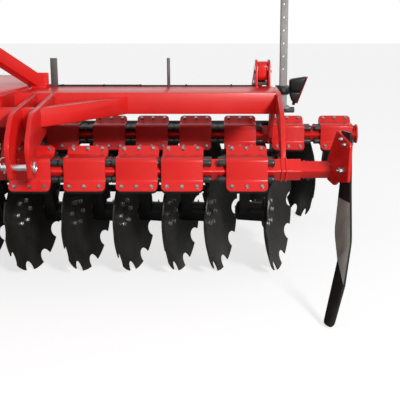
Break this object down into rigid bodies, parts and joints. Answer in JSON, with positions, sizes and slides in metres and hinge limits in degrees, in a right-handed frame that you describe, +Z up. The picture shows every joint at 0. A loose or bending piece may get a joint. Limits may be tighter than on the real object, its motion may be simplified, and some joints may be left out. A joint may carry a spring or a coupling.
{
  "type": "mounted disc harrow",
  "caption": "Mounted compact disc harrow with two rows of notched discs on rubber-sprung arms, side deflectors and a tube roller.",
  "frame": {"origin": "middle of the box's floor: X and Y centred, Z = 0 where discs and roller stand", "axes": "+X to the right as seen from the tractor, the hitch at the front faces -Y, +Z up"},
  "size_m": [4, 2.8228, 1.56],
  "materials": {
    "frame_red": "gloss bright red paint",
    "disc_black": "gloss black paint on steel",
    "arm_black": "satin black paint on cast steel",
    "rubber": "black moulded rubber",
    "zinc": "bright zinc plate",
    "blade_black": "satin black paint",
    "stand_grey": "grey zinc and paint",
    "collar_black": "satin black paint",
    "lamp_black": "black moulded plastic",
    "conduit_black": "black corrugated plastic",
    "roller_black": "satin black paint"
  },
  "bodies": {
    "root": {"main_beam": "frame_red", "headstock_base": "frame_red", "headstock_crossbar": "frame_red", "headstock_tower": "frame_red", "tower_stays": "frame_red", "hitch_plates": "frame_red", "hitch_braces": "frame_red", "hitch_pins": "zinc", "end_plates": "frame_red", "inner_hangers": "frame_red", "front_beam": "frame_red", "front_clamp_covers": "frame_red", "front_arms": "arm_black", "front_rubbers": "rubber", "rear_beam": "frame_red", "rear_clamp_covers": "frame_red", "rear_arms": "arm_black", "rear_rubbers": "rubber", "roller_posts": "frame_red", "roller_pins": "zinc", "stand_collars": "collar_black", "lamps": "lamp_black", "lamp_conduit": "conduit_black", "hose_rests": "stand_grey"},
    "front_disc_01": {"front_disc_01": "disc_black"},
    "front_disc_02": {"front_disc_02": "disc_black"},
    "front_disc_03": {"front_disc_03": "disc_black"},
    "front_disc_04": {"front_disc_04": "disc_black"},
    "front_disc_05": {"front_disc_05": "disc_black"},
    "front_disc_06": {"front_disc_06": "disc_black"},
    "front_disc_07": {"front_disc_07": "disc_black"},
    "front_disc_08": {"front_disc_08": "disc_black"},
    "front_disc_09": {"front_disc_09": "disc_black"},
    "front_disc_10": {"front_disc_10": "disc_black"},
    "front_disc_11": {"front_disc_11": "disc_black"},
    "front_disc_12": {"front_disc_12": "disc_black"},
    "front_disc_13": {"front_disc_13": "disc_black"},
    "front_disc_14": {"front_disc_14": "disc_black"},
    "rear_disc_01": {"rear_disc_01": "disc_black"},
    "rear_disc_02": {"rear_disc_02": "disc_black"},
    "rear_disc_03": {"rear_disc_03": "disc_black"},
    "rear_disc_04": {"rear_disc_04": "disc_black"},
    "rear_disc_05": {"rear_disc_05": "disc_black"},
    "rear_disc_06": {"rear_disc_06": "disc_black"},
    "rear_disc_07": {"rear_disc_07": "disc_black"},
    "rear_disc_08": {"rear_disc_08": "disc_black"},
    "rear_disc_09": {"rear_disc_09": "disc_black"},
    "rear_disc_10": {"rear_disc_10": "disc_black"},
    "rear_disc_11": {"rear_disc_11": "disc_black"},
    "rear_disc_12": {"rear_disc_12": "disc_black"},
    "rear_disc_13": {"rear_disc_13": "disc_black"},
    "rear_disc_14": {"rear_disc_14": "disc_black"},
    "deflector_right": {"deflector_slider_right": "frame_red", "deflector_blade_right": "blade_black"},
    "deflector_left": {"deflector_slider_left": "frame_red", "deflector_blade_left": "blade_black"},
    "roller_frame": {"roller_frame": "frame_red"},
    "roller": {"roller": "roller_black"},
    "stand_right": {"stand_right": "stand_grey"},
    "stand_left": {"stand_left": "stand_grey"}
  },
  "joints": [
    {"name": "roller_frame_hinge", "type": "hinge", "parent": "root", "child": "roller_frame", "pos_m": [0, -0.22219, 0.94], "axis": [1, 0, 0], "range_deg": [0, 12]},
    {"name": "roller_spin", "type": "hinge", "parent": "roller_frame", "child": "roller", "pos_m": [0, 1.17281, 0.25], "axis": [1, 0, 0], "continuous": true},
    {"name": "stand_right_slide", "type": "slide", "parent": "root", "child": "stand_right", "axis": [0, 0, -1], "range_m": [0, 0.735]},
    {"name": "deflector_right_slide", "type": "slide", "parent": "root", "child": "deflector_right", "axis": [1, 0, 0], "range_m": [-0.08, 0.1]},
    {"name": "stand_left_slide", "type": "slide", "parent": "root", "child": "stand_left", "axis": [0, 0, -1], "range_m": [0, 0.735]},
    {"name": "deflector_left_slide", "type": "slide", "parent": "root", "child": "deflector_left", "axis": [-1, 0, 0], "range_m": [-0.08, 0.1]},
    {"name": "front_disc_01_spin", "type": "hinge", "parent": "root", "child": "front_disc_01", "pos_m": [-1.767, -0.58825, 0.28], "axis": [0.9636, -0.2672, 0], "continuous": true},
    {"name": "front_disc_02_spin", "type": "hinge", "parent": "root", "child": "front_disc_02", "pos_m": [-1.499, -0.58825, 0.28], "axis": [0.9636, -0.2672, 0], "continuous": true},
    {"name": "front_disc_03_spin", "type": "hinge", "parent": "root", "child": "front_disc_03", "pos_m": [-1.231, -0.58825, 0.28], "axis": [0.9636, -0.2672, 0], "continuous": true},
    {"name": "front_disc_04_spin", "type": "hinge", "parent": "root", "child": "front_disc_04", "pos_m": [-0.982, -0.58825, 0.28], "axis": [0.9636, -0.2672, 0], "continuous": true},
    {"name": "front_disc_05_spin", "type": "hinge", "parent": "root", "child": "front_disc_05", "pos_m": [-0.74, -0.58825, 0.28], "axis": [0.9636, -0.2672, 0], "continuous": true},
    {"name": "front_disc_06_spin", "type": "hinge", "parent": "root", "child": "front_disc_06", "pos_m": [-0.502, -0.58825, 0.28], "axis": [0.9636, -0.2672, 0], "continuous": true},
    {"name": "front_disc_07_spin", "type": "hinge", "parent": "root", "child": "front_disc_07", "pos_m": [-0.244, -0.58825, 0.28], "axis": [0.9636, -0.2672, 0], "continuous": true},
    {"name": "front_disc_08_spin", "type": "hinge", "parent": "root", "child": "front_disc_08", "pos_m": [0.015, -0.58825, 0.28], "axis": [0.9636, -0.2672, 0], "continuous": true},
    {"name": "front_disc_09_spin", "type": "hinge", "parent": "root", "child": "front_disc_09", "pos_m": [0.275, -0.58825, 0.28], "axis": [0.9636, -0.2672, 0], "continuous": true},
    {"name": "front_disc_10_spin", "type": "hinge", "parent": "root", "child": "front_disc_10", "pos_m": [0.534, -0.58825, 0.28], "axis": [0.9636, -0.2672, 0], "continuous": true},
    {"name": "front_disc_11_spin", "type": "hinge", "parent": "root", "child": "front_disc_11", "pos_m": [0.768, -0.58825, 0.28], "axis": [0.9636, -0.2672, 0], "continuous": true},
    {"name": "front_disc_12_spin", "type": "hinge", "parent": "root", "child": "front_disc_12", "pos_m": [0.991, -0.58825, 0.28], "axis": [0.9636, -0.2672, 0], "continuous": true},
    {"name": "front_disc_13_spin", "type": "hinge", "parent": "root", "child": "front_disc_13", "pos_m": [1.185, -0.58825, 0.28], "axis": [0.9636, -0.2672, 0], "continuous": true},
    {"name": "front_disc_14_spin", "type": "hinge", "parent": "root", "child": "front_disc_14", "pos_m": [1.463, -0.58825, 0.28], "axis": [0.9636, -0.2672, 0], "continuous": true},
    {"name": "rear_disc_01_spin", "type": "hinge", "parent": "root", "child": "rear_disc_01", "pos_m": [-1.463, 0.49975, 0.28], "axis": [-0.9636, -0.2672, 0], "continuous": true},
    {"name": "rear_disc_02_spin", "type": "hinge", "parent": "root", "child": "rear_disc_02", "pos_m": [-1.185, 0.49975, 0.28], "axis": [-0.9636, -0.2672, 0], "continuous": true},
    {"name": "rear_disc_03_spin", "type": "hinge", "parent": "root", "child": "rear_disc_03", "pos_m": [-0.991, 0.49975, 0.28], "axis": [-0.9636, -0.2672, 0], "continuous": true},
    {"name": "rear_disc_04_spin", "type": "hinge", "parent": "root", "child": "rear_disc_04", "pos_m": [-0.768, 0.49975, 0.28], "axis": [-0.9636, -0.2672, 0], "continuous": true},
    {"name": "rear_disc_05_spin", "type": "hinge", "parent": "root", "child": "rear_disc_05", "pos_m": [-0.534, 0.49975, 0.28], "axis": [-0.9636, -0.2672, 0], "continuous": true},
    {"name": "rear_disc_06_spin", "type": "hinge", "parent": "root", "child": "rear_disc_06", "pos_m": [-0.275, 0.49975, 0.28], "axis": [-0.9636, -0.2672, 0], "continuous": true},
    {"name": "rear_disc_07_spin", "type": "hinge", "parent": "root", "child": "rear_disc_07", "pos_m": [-0.015, 0.49975, 0.28], "axis": [-0.9636, -0.2672, 0], "continuous": true},
    {"name": "rear_disc_08_spin", "type": "hinge", "parent": "root", "child": "rear_disc_08", "pos_m": [0.244, 0.49975, 0.28], "axis": [-0.9636, -0.2672, 0], "continuous": true},
    {"name": "rear_disc_09_spin", "type": "hinge", "parent": "root", "child": "rear_disc_09", "pos_m": [0.502, 0.49975, 0.28], "axis": [-0.9636, -0.2672, 0], "continuous": true},
    {"name": "rear_disc_10_spin", "type": "hinge", "parent": "root", "child": "rear_disc_10", "pos_m": [0.74, 0.49975, 0.28], "axis": [-0.9636, -0.2672, 0], "continuous": true},
    {"name": "rear_disc_11_spin", "type": "hinge", "parent": "root", "child": "rear_disc_11", "pos_m": [0.982, 0.49975, 0.28], "axis": [-0.9636, -0.2672, 0], "continuous": true},
    {"name": "rear_disc_12_spin", "type": "hinge", "parent": "root", "child": "rear_disc_12", "pos_m": [1.231, 0.49975, 0.28], "axis": [-0.9636, -0.2672, 0], "continuous": true},
    {"name": "rear_disc_13_spin", "type": "hinge", "parent": "root", "child": "rear_disc_13", "pos_m": [1.499, 0.49975, 0.28], "axis": [-0.9636, -0.2672, 0], "continuous": true},
    {"name": "rear_disc_14_spin", "type": "hinge", "parent": "root", "child": "rear_disc_14", "pos_m": [1.767, 0.49975, 0.28], "axis": [-0.9636, -0.2672, 0], "continuous": true}
  ]
}
